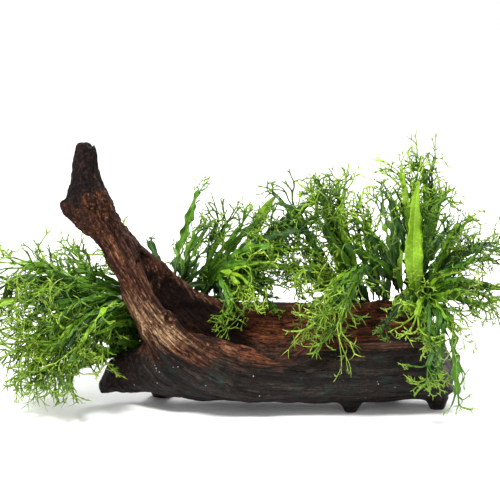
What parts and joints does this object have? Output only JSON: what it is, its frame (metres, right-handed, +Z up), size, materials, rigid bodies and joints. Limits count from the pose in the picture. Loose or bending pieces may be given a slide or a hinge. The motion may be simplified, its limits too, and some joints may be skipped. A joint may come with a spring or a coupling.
{
  "type": "java fern on driftwood",
  "caption": "Scooped-out driftwood log with a raised branch, planted with lace java ferns whose fronds arch out from creeping rhizomes.",
  "frame": {"origin": "centre of the overall box in X and Y, on the surface the wood stands on", "axes": "+X along the log away from the raised branch, +Y to the back where the ferns are rooted, +Z up"},
  "size_m": [0.4558, 0.2088, 0.2176],
  "materials": {
    "driftwood": "dark waterlogged wood, grooved along the grain, damp sheen low down",
    "driftwood_red": "weathered red-brown wood with fine light striations",
    "rhizome": "scaly dark green-brown rhizome with wiry roots",
    "leaf_dark": "leathery dark green frond, soft gloss",
    "leaf_green": "leathery mid-green frond, soft gloss",
    "leaf_lime": "thin bright lime young frond, soft gloss"
  },
  "bodies": {
    "root": {"driftwood_log": "driftwood", "driftwood_foot": "driftwood", "driftwood_front_arm": "driftwood", "driftwood_branch": "driftwood_red", "driftwood_rear_arm": "driftwood_red", "rhizome_left": "rhizome", "rhizome_middle": "rhizome", "rhizome_centre": "rhizome", "rhizome_right": "rhizome", "young_fronds_left": "leaf_lime", "young_fronds_middle": "leaf_lime", "young_fronds_centre": "leaf_lime", "young_fronds_right": "leaf_lime", "young_fronds_back": "leaf_lime", "frond_left_01": "leaf_dark", "frond_left_02": "leaf_green", "frond_left_03": "leaf_green", "frond_left_04": "leaf_lime", "frond_left_05": "leaf_dark", "frond_left_06": "leaf_green", "frond_left_07": "leaf_green", "frond_left_08": "leaf_lime", "frond_left_09": "leaf_dark", "frond_left_10": "leaf_green", "frond_left_11": "leaf_green", "frond_left_12": "leaf_lime", "frond_left_13": "leaf_dark", "frond_middle_01": "leaf_dark", "frond_middle_02": "leaf_green", "frond_middle_03": "leaf_green", "frond_middle_04": "leaf_lime", "frond_middle_05": "leaf_dark", "frond_middle_06": "leaf_green", "frond_middle_07": "leaf_green", "frond_middle_08": "leaf_lime", "frond_middle_09": "leaf_dark", "frond_centre_01": "leaf_dark", "frond_centre_02": "leaf_green", "frond_centre_03": "leaf_green", "frond_centre_04": "leaf_lime", "frond_centre_05": "leaf_dark", "frond_centre_06": "leaf_green", "frond_centre_07": "leaf_green", "frond_centre_08": "leaf_lime", "frond_centre_09": "leaf_dark", "frond_right_01": "leaf_dark", "frond_right_02": "leaf_green", "frond_right_03": "leaf_lime", "frond_right_04": "leaf_lime", "frond_right_05": "leaf_dark", "frond_right_06": "leaf_green", "frond_right_07": "leaf_green", "frond_right_08": "leaf_lime", "frond_right_09": "leaf_dark", "frond_right_10": "leaf_green", "frond_right_11": "leaf_green", "frond_right_12": "leaf_lime", "frond_right_13": "leaf_dark", "frond_right_14": "leaf_green", "frond_right_15": "leaf_green"}
  },
  "joints": []
}
